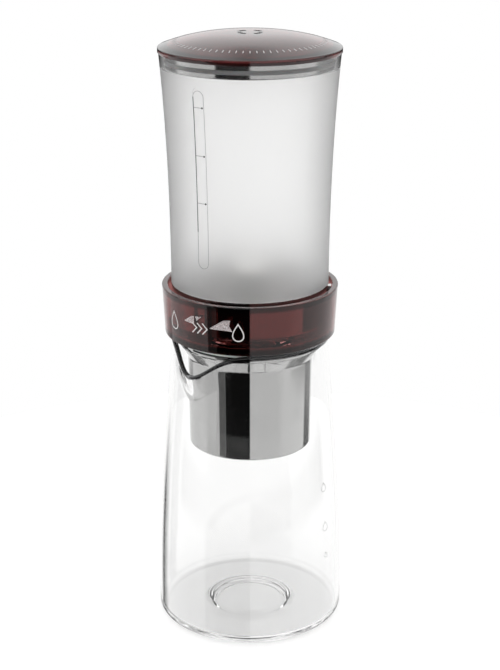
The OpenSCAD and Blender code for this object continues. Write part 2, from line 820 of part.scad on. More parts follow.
module cross_pin() {
    color("silver") translate([0, 0, pin_z]) rotate([0, 90, 0])
        cylinder(h = 2 * (ramp_outer_r - 0.8), r = pin_r, center = true, $fn = 32);
}

spring_sides = 6;
rings_per_turn = 12;
spring_play = 0.02;  // gap between each end of the spring and its seat

// A coil spring swept along its helix, with flat closed ends
module needle_spring() {
    low = needle_top_z + wire_r + spring_play;
    rise = spring_h - 2 * (wire_r + spring_play);
    n = spring_turns * rings_per_turn;
    points = [for (i = [0:n], k = [0:spring_sides - 1])
        let (
            a = 360 * i / rings_per_turn,
            b = 360 * k / spring_sides,
            r = spring_r + wire_r * cos(b)
        )
        [r * cos(a), r * sin(a), low + rise * smooth(i / n) + wire_r * sin(b)]];
    sides = [for (i = [0:n - 1], k = [0:spring_sides - 1])
        let (
            a = i * spring_sides + k,
            b = i * spring_sides + (k + 1) % spring_sides
        )
        each [[a, b, b + spring_sides], [a, b + spring_sides, a + spring_sides]]];
    caps = [
        [for (k = [spring_sides - 1:-1:0]) k],
        [for (k = [0:spring_sides - 1]) n * spring_sides + k]
    ];
    color("silver") polyhedron(points, concat(sides, caps), convexity = 8);
}

strainer_top_z = seat_top_z + strainer_h;

strainer_slot_w = 1.4;
strainer_rim = 1.6;  // height of the plain rim above and below the slots
cap_t = 1.6;

module strainer() {
    color("silver") difference() {
        tube(strainer_r - strainer_t, strainer_r, seat_top_z, strainer_top_z);
        for (i = [0:strainer_slots - 1])
            rotate([0, 0, 360 * i / strainer_slots])
                translate([strainer_r - 2 * strainer_t, -strainer_slot_w / 2, seat_top_z + strainer_rim])
                    cube([3 * strainer_t, strainer_slot_w, strainer_h - 2 * strainer_rim]);
    }
}

module strainer_cap() {
    boss_z = needle_top_z + spring_h;
    boss_r = spring_r + wire_r + 0.4;
    color("whitesmoke") turned(outline([
        [0, boss_z - spigot_h, 0],
        [spigot_r, boss_z - spigot_h, 0.3],
        [spigot_r, boss_z, 0],
        [boss_r, boss_z, 0.3],
        [boss_r, strainer_top_z, 0],
        [strainer_r, strainer_top_z, 0],
        [strainer_r, strainer_top_z + cap_t, 0.6],
        [0, strainer_top_z + cap_t, 0]
    ], 3));
}

// ---------- Lid ----------

dome_steps = 20;
skirt_inner_z = rim_z - lid_skirt_h;
lid_skirt_r = tank_outer_r(skirt_inner_z) - tank_t - slip_gap;
lid_skirt_inner_r = lid_skirt_r - lid_skirt_t;
seal_h = 2;
seal_z = skirt_inner_z + 2.1;
seal_depth = 0.8;

function dome_z(r, edge_r) = lid_top_z + dome_h * (1 - pow(r / edge_r, dome_power));

module vents() {
    for (i = [0:3])
        arc_block(vent_r - vent_w / 2, vent_r + vent_w / 2, rim_z, lid_top_z + dome_h + cut,
                  45 + 90 * i, vent_angle);
}

module lid_dome() {
    edge_r = lid_r - 0.5;
    inner_r = lid_skirt_inner_r - 0.4;
    outer_dome = [for (i = [dome_steps:-1:0]) let (r = edge_r * i / dome_steps) [r, dome_z(r, edge_r)]];
    inner_dome = [for (i = [0:dome_steps]) let (r = inner_r * i / dome_steps)
        [r, dome_z(r, edge_r) - dome_t]];
    color([0.3, 0.12, 0.12, 0.75]) difference() {
        turned(concat(
            [[inner_r, rim_z]],
            [[lid_r - 0.3, rim_z], [lid_r, rim_z + 0.3], [lid_r, lid_top_z - 0.5]],
            outer_dome,
            inner_dome
        ));
        vents();
    }
}

module lid_skirt() {
    color([0.2, 0.16, 0.16, 0.8]) turned([
        [lid_skirt_inner_r, skirt_inner_z + 0.4],
        [lid_skirt_inner_r + 0.4, skirt_inner_z],
        [lid_skirt_r - 0.4, skirt_inner_z],
        [lid_skirt_r, skirt_inner_z + 0.4],
        [lid_skirt_r, seal_z],
        [lid_skirt_r - seal_depth, seal_z],
        [lid_skirt_r - seal_depth, seal_z + seal_h],
        [lid_skirt_r, seal_z + seal_h],
        [lid_skirt_r, rim_z],
        [lid_skirt_inner_r, rim_z]
    ]);
}

module lid_seal() {
    inner = lid_skirt_r - seal_depth + fit_gap;
    lip_r = tank_outer_r(seal_z) - tank_t - seal_gap;
    low = seal_z + fit_gap;
    high = seal_z + seal_h - fit_gap;
    color("whitesmoke") turned([
        [inner, low], [lip_r - 0.25, low], [lip_r, (low + high) / 2], [lip_r - 0.25, high], [inner, high]
    ]);
}

carafe();
filter_cup();
cup_gasket();
filter_mesh();
mesh_ring();
spreader_disc();
spreader_knob();
dripper_base();
base_band();
base_gasket();
regulator_ring();
cam_hub();
tank();
tank_foot();
valve_seat();
seat_gasket();
seat_nut();
metering_needle();
cross_pin();
needle_spring();
strainer();
strainer_cap();
lid_dome();
lid_skirt();
lid_seal();
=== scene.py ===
# Looks of the cold brew coffee maker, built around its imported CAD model.
# Named sizes are in millimetres, and MM turns them into metres. Azimuths are degrees from the
# front (-Y), positive towards +X.

import math

import bpy
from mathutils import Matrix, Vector


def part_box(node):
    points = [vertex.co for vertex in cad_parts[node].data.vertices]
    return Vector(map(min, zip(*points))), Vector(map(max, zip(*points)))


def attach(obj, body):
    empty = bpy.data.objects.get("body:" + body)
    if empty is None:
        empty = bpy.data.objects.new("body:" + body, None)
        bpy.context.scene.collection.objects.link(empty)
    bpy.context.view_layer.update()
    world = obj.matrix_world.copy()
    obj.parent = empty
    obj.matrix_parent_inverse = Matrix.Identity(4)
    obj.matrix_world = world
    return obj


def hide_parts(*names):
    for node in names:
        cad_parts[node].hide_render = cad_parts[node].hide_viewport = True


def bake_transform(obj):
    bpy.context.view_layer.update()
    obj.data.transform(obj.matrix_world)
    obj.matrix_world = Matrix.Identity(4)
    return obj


MM = 0.001
AXIS_R = 0.02                 # radius of the small face that closes a turned piece on its axis

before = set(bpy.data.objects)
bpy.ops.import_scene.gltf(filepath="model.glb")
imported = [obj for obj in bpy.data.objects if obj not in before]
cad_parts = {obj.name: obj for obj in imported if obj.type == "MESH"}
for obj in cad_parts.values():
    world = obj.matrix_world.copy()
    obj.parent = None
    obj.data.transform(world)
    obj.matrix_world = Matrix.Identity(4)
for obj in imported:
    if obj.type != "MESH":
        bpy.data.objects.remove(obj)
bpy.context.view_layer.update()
scene = bpy.context.scene


# ---------- Camera ----------

CAMERA_AT = (0.0, -0.72555, 0.3945)
CAMERA_PITCH = 19.02          # degrees below the horizon
CAMERA_LENS = 84.84           # on a 36 mm sensor, along the picture's long side


def make_camera():
    """The camera at the photograph's place and angle."""
    data = bpy.data.cameras.new("camera")
    data.lens = CAMERA_LENS
    data.sensor_width = 36.0
    data.clip_start = 0.01
    data.clip_end = 20.0
    camera = bpy.data.objects.new("camera", data)
    camera.location = CAMERA_AT
    camera.rotation_euler = (math.radians(90.0 - CAMERA_PITCH), 0.0, 0.0)
    scene.collection.objects.link(camera)
    scene.camera = camera


# ---------- Node helpers ----------

WALL_PASSED = 2.5             # a ray with more refractions than this has passed a clear wall


class Nodes:
    """A short way to add and link shader nodes in one tree."""

    def __init__(self, tree):
        self.tree = tree
        tree.nodes.clear()

    def add(self, kind, **settings):
        node = self.tree.nodes.new(kind)
        for name, value in settings.items():
            setattr(node, name, value)
        return node

    def link(self, source, target):
        self.tree.links.new(source, target)

    def math(self, operation, a, b=0.0, clamp=False):
        node = self.add("ShaderNodeMath", operation=operation, use_clamp=clamp)
        for socket, value in zip(node.inputs, (a, b)):
            if isinstance(value, (int, float)):
                socket.default_value = value
            else:
                self.link(value, socket)
        return node.outputs[0]

    def noise(self, scale, detail=3.0, roughness=0.5, stretch=(1.0, 1.0, 1.0)):
        """Noise over the piece's own place; scale is in features per metre."""
        where = self.add("ShaderNodeTexCoord")
        mapping = self.add("ShaderNodeMapping")
        mapping.inputs["Scale"].default_value = stretch
        node = self.add("ShaderNodeTexNoise")
        node.inputs["Scale"].default_value = scale
        node.inputs["Detail"].default_value = detail
        node.inputs["Roughness"].default_value = roughness
        self.link(where.outputs["Object"], mapping.inputs["Vector"])
        self.link(mapping.outputs["Vector"], node.inputs["Vector"])
        return node.outputs["Fac"]

    def spread(self, value, low, high, start=0.3, end=0.7):
        """Maps a noise value from start..end to low..high."""
        node = self.add("ShaderNodeMapRange")
        node.inputs["From Min"].default_value = start
        node.inputs["From Max"].default_value = end
        node.inputs["To Min"].default_value = low
        node.inputs["To Max"].default_value = high
        self.link(value, node.inputs["Value"])
        return node.outputs["Result"]

    def tint(self, value, dark, light, start=0.3, end=0.7):
        """A colour between dark and light by a noise value."""
        ramp = self.add("ShaderNodeValToRGB")
        ramp.color_ramp.elements[0].position = start
        ramp.color_ramp.elements[0].color = (*dark, 1.0)
        ramp.color_ramp.elements[1].position = end
        ramp.color_ramp.elements[1].color = (*light, 1.0)
        self.link(value, ramp.inputs["Fac"])
        return ramp.outputs["Color"]

    def mottle(self, scale, color, share):
        """The colour, in places darker by a share of itself."""
        dark = tuple(c * (1.0 - share) for c in color)
        return self.tint(self.noise(scale, detail=2.0), dark, color)

    def uneven_gloss(self, shader, scale, low, high, start=0.3, end=0.7):
        """Gives the shader a roughness that wanders between low and high."""
        rough = self.spread(self.noise(scale, detail=4.0), low, high, start, end)
        self.link(rough, shader.inputs["Roughness"])

    def bump(self, height, distance):
        """A bump whose full height is distance millimetres."""
        node = self.add("ShaderNodeBump")
        node.inputs["Distance"].default_value = distance * MM
        self.link(height, node.inputs["Height"])
        return node.outputs["Normal"]

    def behind_wall(self, path):
        """1 for rays that have passed a clear wall, else 0."""
        return self.math("GREATER_THAN", path.outputs["Transmission Depth"], WALL_PASSED)

    def backdrop_share(self):
        """1 for rays that meet the backdrop straight or straight through clear walls, else 0.

        Rays that a surface reflects, or that bend round the edge of a wall, are 0: they meet
        the dark panels, which draw the edges of glass and the bands on steel.
        """
        path = self.add("ShaderNodeLightPath")
        through = self.math("MULTIPLY", self.behind_wall(path),
                            self.math("LESS_THAN", path.outputs["Glossy Depth"], 0.5))
        through = self.math("MULTIPLY", through,
                            self.math("LESS_THAN", path.outputs["Diffuse Depth"], 0.5))
        return self.math("MAXIMUM", path.outputs["Is Camera Ray"], through)

    def height_above(self, low, high):
        """0 below low and 1 above high, in millimetres up the piece."""
        where = self.add("ShaderNodeTexCoord")
        split = self.add("ShaderNodeSeparateXYZ")
        self.link(where.outputs["Object"], split.inputs["Vector"])
        return self.spread(split.outputs["Z"], 0.0, 1.0, low * MM, high * MM)


def new_material(name, color, roughness, **more):
    """A material with one Principled shader, its output and the tree's helper."""
    material = bpy.data.materials.new(name)
    material.use_nodes = True
    nodes = Nodes(material.node_tree)
    shader = nodes.add("ShaderNodeBsdfPrincipled")
    output = nodes.add("ShaderNodeOutputMaterial")
    nodes.link(shader.outputs["BSDF"], output.inputs["Surface"])
    shader.inputs["Base Color"].default_value = (*color, 1.0)
    shader.inputs["Roughness"].default_value = roughness
    for key, value in more.items():
        shader.inputs[key.replace("_", " ")].default_value = value
    return material, nodes, shader, output


def let_lamps_through(nodes, shader, output, color):
    """Shadow rays pass the clear wall as if it were tinted air."""
    path = nodes.add("ShaderNodeLightPath")
    clear = nodes.add("ShaderNodeBsdfTransparent")
    clear.inputs["Color"].default_value = (*color, 1.0)
    mix = nodes.add("ShaderNodeMixShader")
    nodes.link(path.outputs["Is Shadow Ray"], mix.inputs["Fac"])
    nodes.link(shader.outputs["BSDF"], mix.inputs[1])
    nodes.link(clear.outputs["BSDF"], mix.inputs[2])
    nodes.link(mix.outputs["Shader"], output.inputs["Surface"])


# ---------- Materials ----------

GLASS_IOR = 1.47
CLEAR = (0.985, 0.985, 0.983)
HANDLED = (0.45, 0.8)         # noise range in which handling has dulled a clear surface
RING_TINT = (0.44, 0.18, 0.17)  # what the ring's wall passes
RING_ENDS = 0.2               # how much of that passes at the ring's foot and rim
LID_TINT = (0.10, 0.02, 0.02)   # what the lid's dome passes
FROST_LOW = 166.0             # height at which the frosting starts
FROST_TOP = 275.5             # height at which it ends
FROST_FADE = 0.3              # half the height over which it fades
FROST_CLARITY = 0.92          # share of the frosted wall that passes light
MIX_FACTOR, MIX_A, MIX_B, MIX_RESULT = 0, 6, 7, 2  # colour sockets of a Mix node


def clear_glass():
    """Drawn borosilicate glass: clear, with the faint waves of a drawn wall."""
    material, nodes, shader, output = new_material(
        "clear_glass", CLEAR, 0.0, Transmission_Weight=1.0, IOR=GLASS_IOR)
    waves = nodes.noise(34.0, detail=1.0, stretch=(1.0, 1.0, 0.35))
    nodes.link(nodes.bump(waves, 0.006), shader.inputs["Normal"])
    nodes.uneven_gloss(shader, 60.0, 0.0, 0.03, *HANDLED)
    let_lamps_through(nodes, shader, output, (0.92, 0.92, 0.92))
    return material


def painted_dark_rim_glass():
    """The carafe's beaded rim: clear glass tinted near black, painted shade for the dark that thick
    glass shows from all that it bends.
    """
    material, nodes, shader, _ = new_material(
        "painted_dark_rim_glass", (0.05, 0.05, 0.052), 0.0, Transmission_Weight=1.0, IOR=GLASS_IOR)
    nodes.uneven_gloss(shader, 60.0, 0.0, 0.04, *HANDLED)
    return material


def steel(name, color, rough_low, rough_high, grain=0.0):
    """Stainless steel; grain is the depth of its turned brushing in millimetres."""
    material, nodes, shader, _ = new_material(name, color, rough_low, Metallic=1.0)
    nodes.uneven_gloss(shader, 45.0, rough_low, rough_high)
    nodes.link(nodes.mottle(20.0, color, 0.06), shader.inputs["Base Color"])
    if grain:
        lines = nodes.noise(900.0, detail=2.0, stretch=(0.06, 0.06, 1.0))
        nodes.link(nodes.bump(lines, grain), shader.inputs["Normal"])
    return material


def plastic(name, color, rough_low, rough_high, mottle=0.06, grain=0.0, **more):
    """Moulded plastic with slight unevenness of colour and gloss."""
    material, nodes, shader, _ = new_material(name, color, rough_low, **more)
    nodes.uneven_gloss(shader, 70.0, rough_low, rough_high)
    nodes.link(nodes.mottle(30.0, color, mottle), shader.inputs["Base Color"])
    if grain:
        skin = nodes.noise(1800.0, detail=3.0)
        nodes.link(nodes.bump(skin, grain), shader.inputs["Normal"])
    return material


def lid_plastic():
    """The dome's clear plastic, tinted a very dark red."""
    material, nodes, shader, _ = new_material(
        "lid_plastic", LID_TINT, 0.0, Transmission_Weight=1.0, IOR=1.58)
    nodes.link(nodes.mottle(18.0, LID_TINT, 0.07), shader.inputs["Base Color"])
    nodes.uneven_gloss(shader, 80.0, 0.0, 0.04, *HANDLED)
    return material


def ring_plastic():
    """The regulator ring's plastic, darker where its wall is thickest, at its foot and rim."""
    material, nodes, shader, _ = new_material(
        "ring_plastic", RING_TINT, 0.0, Transmission_Weight=1.0, IOR=1.5)
    above_foot = nodes.height_above(RING_Z + 2.0, RING_Z + 3.6)
    ends = nodes.math("MAXIMUM", nodes.height_above(RING_TOP_Z - 3.2, RING_TOP_Z - 2.2),
                      nodes.math("SUBTRACT", 1.0, above_foot))
    mix = nodes.add("ShaderNodeMix", data_type="RGBA")
    nodes.link(ends, mix.inputs[MIX_FACTOR])
    nodes.link(nodes.mottle(18.0, RING_TINT, 0.07), mix.inputs[MIX_A])
    mix.inputs[MIX_B].default_value = (*(c * RING_ENDS for c in RING_TINT), 1.0)
    nodes.link(mix.outputs[MIX_RESULT], shader.inputs["Base Color"])
    nodes.link(nodes.bump(nodes.noise(26.0, detail=1.5), 0.01), shader.inputs["Normal"])
    nodes.uneven_gloss(shader, 80.0, 0.0, 0.04, *HANDLED)
    return material


def frosted_plastic():
    """The tank: frosted between its clear floor and just under the lid, its colour darkened towards
    its edges as painted shade.
    """
    material, nodes, shader, output = new_material("frosted_plastic", CLEAR, 0.3, IOR=1.45)
    above_foot = nodes.height_above(FROST_LOW - FROST_FADE, FROST_LOW + FROST_FADE)
    above_frost = nodes.height_above(FROST_TOP - FROST_FADE, FROST_TOP + FROST_FADE)
    frost = nodes.math("MULTIPLY", above_foot, nodes.math("SUBTRACT", 1.0, above_frost))
    grain = nodes.noise(2200.0, detail=2.0)
    rough = nodes.math("MULTIPLY", nodes.spread(grain, 0.40, 0.50), frost)
    nodes.link(rough, shader.inputs["Roughness"])
    clouded = nodes.math("MULTIPLY", frost, 1.0 - FROST_CLARITY)
    nodes.link(nodes.math("SUBTRACT", 1.0, clouded), shader.inputs["Transmission Weight"])
    nodes.link(nodes.bump(grain, 0.004), shader.inputs["Normal"])
    # Painted shade: the colour turns grey where the wall turns away from view, towards the tank's
    # edges.
    facing = nodes.add("ShaderNodeLayerWeight")
    facing.inputs["Blend"].default_value = 0.5
    nodes.link(nodes.tint(facing.outputs["Facing"], CLEAR, (0.36, 0.36, 0.36), 0.28, 0.97),
               shader.inputs["Base Color"])
    let_lamps_through(nodes, shader, output, (0.75, 0.75, 0.75))
    return material


def wire_mesh():
    """Etched steel mesh, finer than its modelled openings."""
    material, nodes, shader, _ = new_material(
        "steel_mesh", (0.55, 0.55, 0.54), 0.3, Metallic=1.0)
    where = nodes.add("ShaderNodeTexCoord")
    cells = nodes.add("ShaderNodeTexVoronoi")
    cells.inputs["Scale"].default_value = 2200.0
    cells.inputs["Randomness"].default_value = 0.1
    nodes.link(where.outputs["Object"], cells.inputs["Vector"])
    distance = cells.outputs["Distance"]
    nodes.link(nodes.tint(distance, (0.2, 0.2, 0.2), (0.62, 0.62, 0.6), 0.2, 0.45),
               shader.inputs["Base Color"])
    nodes.link(nodes.bump(distance, 0.06), shader.inputs["Normal"])
    return material


def silicone(name, color):
    """Soft silicone with a fine matt skin."""
    return plastic(name, color, 0.45, 0.6, mottle=0.05, grain=0.006,
                   Subsurface_Weight=0.15, Subsurface_Scale=0.002)


def stipple(name, color, coverage=0.47):
    """Ink printed as fine dots, with the wall showing between them."""
    material, nodes, shader, output = new_material(name, color, 0.5)
    dots = nodes.noise(4200.0, detail=1.0)
    inked = nodes.spread(dots, 0.0, 1.0, coverage - 0.06, coverage + 0.06)
    bare = nodes.add("ShaderNodeBsdfTransparent")
    mix = nodes.add("ShaderNodeMixShader")
    nodes.link(inked, mix.inputs["Fac"])
    nodes.link(bare.outputs["BSDF"], mix.inputs[1])
    nodes.link(shader.outputs["BSDF"], mix.inputs[2])
    nodes.link(mix.outputs["Shader"], output.inputs["Surface"])
    return material


def ink(name, color):
    """Printed marks, slightly uneven at their edges."""
    return plastic(name, color, 0.4, 0.6, mottle=0.12, grain=0.003)


def dress_nodes():
    """Gives its material to every node of the frame that shows."""
    polished = steel("polished_steel", (0.52, 0.52, 0.515), 0.01, 0.035)
    skirt = steel("soft_steel", (0.52, 0.52, 0.515), 0.09, 0.13)
    satin = steel("satin_steel", (0.62, 0.62, 0.61), 0.22, 0.34, grain=0.01)
    white = silicone("white_silicone", (0.82, 0.82, 0.80))
    grey = silicone("grey_silicone", (0.30, 0.30, 0.30))
    dark = plastic("dark_plastic", (0.022, 0.006, 0.007), 0.08, 0.16, mottle=0.2)
    ivory = plastic("ivory_plastic", (0.80, 0.79, 0.75), 0.3, 0.42, grain=0.004)
    finishes = {
        polished: ["filter_cup", "mesh_ring", "tank_foot", "base_band"],
        skirt: ["lid_skirt"],
        satin: ["spreader_disc", "metering_needle", "cross_pin", "strainer"],
        wire_mesh(): ["filter_mesh"],
        white: ["cup_gasket", "base_gasket", "seat_gasket"],
        grey: ["lid_seal"],
        dark: ["dripper_base", "spreader_knob"],
        ivory: ["cam_hub", "valve_seat", "seat_nut", "strainer_cap"],
        ring_plastic(): ["regulator_ring"],
        frosted_plastic(): ["tank"],
    }
    for material, names in finishes.items():
        for name in names:
            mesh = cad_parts[name].data
            mesh.materials.clear()
            mesh.materials.append(material)


# ---------- Meshes ----------

def on_axis(r, az, z):
    """The point r from the axis at azimuth az, z up."""
    a = math.radians(az)
    return Vector((r * math.sin(a), -r * math.cos(a), z)) * MM


def add_piece(name, points, faces, material, smooth=True):
    """A mesh object in the scene, from points in metres."""
    mesh = bpy.data.meshes.new(name)
    mesh.from_pydata([tuple(p) for p in points], [], faces)
    mesh.materials.append(material)
    mesh.validate()
    if smooth:
        mesh.shade_smooth()
    piece = bpy.data.objects.new(name, mesh)
    scene.collection.objects.link(piece)
    return piece


def arc(center, radius, start, end, count):
    """Points [r, z] on an arc of the section, angles in degrees from +r."""
    return [(center[0] + radius * math.cos(math.radians(start + (end - start) * i / count)),
             center[1] + radius * math.sin(math.radians(start + (end - start) * i / count)))
            for i in range(count + 1)]


def between(a, b, count):
    """Points after a up to b, evenly spaced."""
    return [(a[0] + (b[0] - a[0]) * i / count, a[1] + (b[1] - a[1]) * i / count)
            for i in range(1, count + 1)]


def smooth(t):
    """An even step from 0 to 1 as t goes from 0 to 1."""
    t = min(1.0, max(0.0, t))
    return t * t * (3.0 - 2.0 * t)


# ---------- Carafe ----------

_, carafe_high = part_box("carafe")
CARAFE_H = carafe_high.z / MM
BASE_R = carafe_high.x / MM
NECK_R = 38.1
GLASS_T = 2.1
BEAD_R = 1.15
FOOT_R = 4.0
FLOOR_T = 2.6
FLOOR_CROWN = 0.5
INNER_FOOT_R = 2.5
PUNT_R = 19.5
PUNT_DEPTH = 1.2
WALL_LOW_HANDLE = 69.0
WALL_HIGH_HANDLE = 19.0
NECK_H = 30.9
SPOUT_AZ = -44.0
SPOUT_DROP = 12.6
SPOUT_SPREAD = 21.0
DIP_POWER = 1.8               # how square the dip's sides are
SPOUT_PULL = 2.6
PULL_SPREAD = 0.8 * SPOUT_SPREAD
SPOUT_REACH = 12.0
PUNT_STEP = 0.9
CARAFE_COLUMNS = 288
WALL_STEPS = 44
NECK_STEPS = 26
CORNER_STEPS = 10
PUNT_STEPS = 8
FLOOR_STEPS = 12


def wall_point(t):
    """The wall's outer curve, from the foot to the rim."""
    ends = ((BASE_R, FOOT_R), (BASE_R, FOOT_R + WALL_LOW_HANDLE),
            (NECK_R, CARAFE_H - BEAD_R - WALL_HIGH_HANDLE), (NECK_R, CARAFE_H - BEAD_R))
    shares = ((1 - t) ** 3, 3 * t * (1 - t) ** 2, 3 * t * t * (1 - t), t ** 3)
    return [sum(s * e[i] for s, e in zip(shares, ends)) for i in (0, 1)]


def wall_r(z):
    """Radius of the carafe's outer wall at the height z."""
    low, high = 0.0, 1.0
    for _ in range(30):
        mid = (low + high) / 2
        low, high = (mid, high) if wall_point(mid)[1] < z else (low, mid)
    return wall_point(low)[0]


def carafe_section(d, plain):
    """The section at the angle d from the spout, and where its bead starts and ends.

    Its points (r, z) run from the punt over the outer wall and the rim to the inner floor;
    plain holds those of the outer wall below the neck.
    """
    dip = SPOUT_DROP * math.exp(-(abs(d) / SPOUT_SPREAD) ** DIP_POWER)
    pull = SPOUT_PULL * math.exp(-(d / PULL_SPREAD) ** 2)
    edge = CARAFE_H - dip - BEAD_R
    neck_low = CARAFE_H - NECK_H
    neck = []
    for i in range(1, NECK_STEPS + 1):
        z = neck_low + (edge - neck_low) * i / NECK_STEPS
        neck.append((wall_r(z) + pull * smooth(1 - (edge - z) / SPOUT_REACH), z))
    middle = neck[-1][0] - GLASS_T / 2
    bead = arc((middle, edge), BEAD_R, 0, 180, CORNER_STEPS)
    inner_neck = [(r - GLASS_T, z) for r, z in reversed(neck[:-1])]
    foot = arc((BASE_R - FOOT_R, FOOT_R), FOOT_R, -90, 0, CORNER_STEPS)
    corner_z = FLOOR_T + INNER_FOOT_R
    corner = arc((BASE_R - GLASS_T - INNER_FOOT_R, corner_z), INNER_FOOT_R, 0, -90, CORNER_STEPS)
    inner_wall = [(r - GLASS_T, z) for r, z in reversed(plain) if z > corner_z + 0.5]
    punt = [(AXIS_R, PUNT_DEPTH)]
    punt += between(punt[0], (PUNT_R - PUNT_STEP, PUNT_DEPTH), 4)
    for i in range(1, PUNT_STEPS + 1):
        left = 1 - smooth(i / PUNT_STEPS)
        punt.append((PUNT_R - PUNT_STEP * left, PUNT_DEPTH * left))
    ground = between((PUNT_R, 0.0), (BASE_R - FOOT_R, 0.0), 4)[:-1]
    floor = [(corner[-1][0] * (1 - i / FLOOR_STEPS),
              FLOOR_T + FLOOR_CROWN * smooth(i / FLOOR_STEPS)) for i in range(1, FLOOR_STEPS)]
    floor.append((AXIS_R, FLOOR_T + FLOOR_CROWN))
    outer = punt + ground + foot + plain + neck[:-1]
    section = outer + bead + inner_neck + inner_wall + corner + floor
    return section, len(outer) - 1, len(outer) + len(bead)


def make_carafe():
    """The carafe as one fine shell, with its bead in a glass of its own, tinted near black as
    painted shade.
    """
    wall_top = CARAFE_H - NECK_H
    plain = [(wall_r(z), z) for z in
             (FOOT_R + (wall_top - FOOT_R) * i / WALL_STEPS for i in range(1, WALL_STEPS + 1))]
    points, faces = [], []
    for j in range(CARAFE_COLUMNS):
        d = 360.0 * j / CARAFE_COLUMNS - 180.0
        section, bead_first, bead_end = carafe_section(d, plain)
        points += [on_axis(r, SPOUT_AZ + d, z) for r, z in section]
    count = len(section)
    for j in range(CARAFE_COLUMNS):
        a, b = j * count, (j + 1) % CARAFE_COLUMNS * count
        faces += [(a + i, b + i, b + i + 1, a + i + 1) for i in range(count - 1)]
    faces.append([j * count for j in range(CARAFE_COLUMNS)][::-1])
    faces.append([j * count + count - 1 for j in range(CARAFE_COLUMNS)])
    carafe = add_piece("carafe_glass", points, faces, clear_glass())
    carafe.data.materials.append(painted_dark_rim_glass())
    for face in carafe.data.polygons:
        if len(face.vertices) == 4 and bead_first <= face.index % (count - 1) < bead_end:
            face.material_index = 1
    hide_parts("carafe")
    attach(carafe, "carafe")


# ---------- Needle spring ----------

SPRING_TURNS = 4
WIRE_R = 0.3
STEPS_PER_TURN = 48
WIRE_SIDES = 10


def make_spring():
    """The needle's return spring: it stands on the needle and shortens under the strainer's cap."""
    low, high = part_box("needle_spring")
    coil_r = high.x / MM - WIRE_R
    first, last = low.z / MM + WIRE_R, high.z / MM - WIRE_R
    steps = STEPS_PER_TURN * SPRING_TURNS
    points, faces = [], []
    for i in range(steps + 1):
        turn = 360.0 * SPRING_TURNS * i / steps + 90.0
        z = first + (last - first) * smooth(i / steps)
        for k in range(WIRE_SIDES):
            b = 2 * math.pi * k / WIRE_SIDES
            points.append(on_axis(coil_r + WIRE_R * math.cos(b), turn, z + WIRE_R * math.sin(b)))
    for i in range(steps):
        for k in range(WIRE_SIDES):
            a, b = i * WIRE_SIDES + k, i * WIRE_SIDES + (k + 1) % WIRE_SIDES
            faces.append((a, b, b + WIRE_SIDES, a + WIRE_SIDES))
    faces.append(list(range(WIRE_SIDES))[::-1])
    faces.append([steps * WIRE_SIDES + k for k in range(WIRE_SIDES)])
    wire = steel("spring_steel", (0.58, 0.58, 0.57), 0.15, 0.25)
    spring = add_piece("needle_coil", points, faces, wire)
    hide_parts("needle_spring")
    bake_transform(spring)


# ---------- Lid ----------

DOME_H = 6.3
DOME_POWER = 2.6
DOME_T = 2.2
LID_RIM_H = 2.6
VENT_R = 5.4
VENT_W = 2.0
VENT_ANGLE = 50
lid_low, lid_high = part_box("lid_dome")
LID_R = lid_high.x / MM
RIM_Z = lid_low.z / MM
LID_INNER_R = 37.5
LID_CORNER = 0.5
LID_COLUMNS = 360             # one a degree, which the vents' ends count on
TICKS = 72
TICK_W = 0.36
TICK_INNER_R = 33.6
TICK_OUTER_R = 35.8


def dome_z(r):
    """Height of the dome's outer face at the radius r."""
    return RIM_Z + LID_RIM_H + DOME_H * (1 - (r / (LID_R - LID_CORNER)) ** DOME_POWER)


def make_lid():
    """The domed lid as one fine shell, with its vents cut right through."""
    vent_low, vent_high = VENT_R - VENT_W / 2, VENT_R + VENT_W / 2
    inner = [AXIS_R, 1.6, 3.2, vent_low, vent_high] + [vent_high + i for i in range(1, 36)]
    edge_r = LID_R - LID_CORNER
    top = [(r, dome_z(r)) for r in inner if r < LID_R - 1.0] + [(edge_r, dome_z(edge_r))]
    corner = arc((edge_r, RIM_Z + LID_RIM_H - LID_CORNER), LID_CORNER, 90, 0, 6)[1:]
    foot = [(LID_R, RIM_Z + 0.3), (LID_R - 0.3, RIM_Z), (LID_INNER_R, RIM_Z)]
    under_r = [r for r in inner if r < LID_INNER_R - 0.5] + [LID_INNER_R]
    under = [(r, dome_z(r) - DOME_T) for r in reversed(under_r)]
    section = top + corner + foot + under
    count = len(section)
    points, faces = [], []
    for j in range(LID_COLUMNS):
        points += [on_axis(r, 90.0 + j, z) for r, z in section]
    vents = []
    slot_top = inner.index(vent_low)
    slot_under = count - 1 - slot_top
    half = VENT_ANGLE // 2
    for j in range(LID_COLUMNS):
        a, b = j * count, (j + 1) % LID_COLUMNS * count
        slotted = -half <= j % 90 - 45 < half
        for i in range(count - 1):
            if not (slotted and i in (slot_top, slot_under - 1)):
                faces.append((a + i, a + i + 1, b + i + 1, b + i))
        if slotted:
            inside, outside = (slot_top, slot_under), (slot_top + 1, slot_under - 1)
            vents.append((a + inside[0], b + inside[0], b + inside[1], a + inside[1]))
            vents.append((b + outside[0], a + outside[0], a + outside[1], b + outside[1]))
            if j % 90 - 45 == -half:
                vents.append((a + inside[0], a + inside[1], a + outside[1], a + outside[0]))
            if j % 90 - 45 == half - 1:
                vents.append((b + inside[0], b + outside[0], b + outside[1], b + inside[1]))
    faces.append([j * count for j in range(LID_COLUMNS)])
    faces.append([j * count + count - 1 for j in range(LID_COLUMNS)][::-1])
    lid = add_piece("lid_dome_shell", points, faces + vents, lid_plastic())
    # The vents' walls get a near-black plastic: painted shade for the dark inside the slots.
    lid.data.materials.append(plastic("painted_vent_shade", (0.012, 0.004, 0.004), 0.4, 0.5))
    for face in list(lid.data.polygons)[-len(vents):]:
        face.material_index = 1
    lid.data.set_sharp_from_angle(angle=math.radians(50))
    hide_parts("lid_dome")
    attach(lid, "lid")


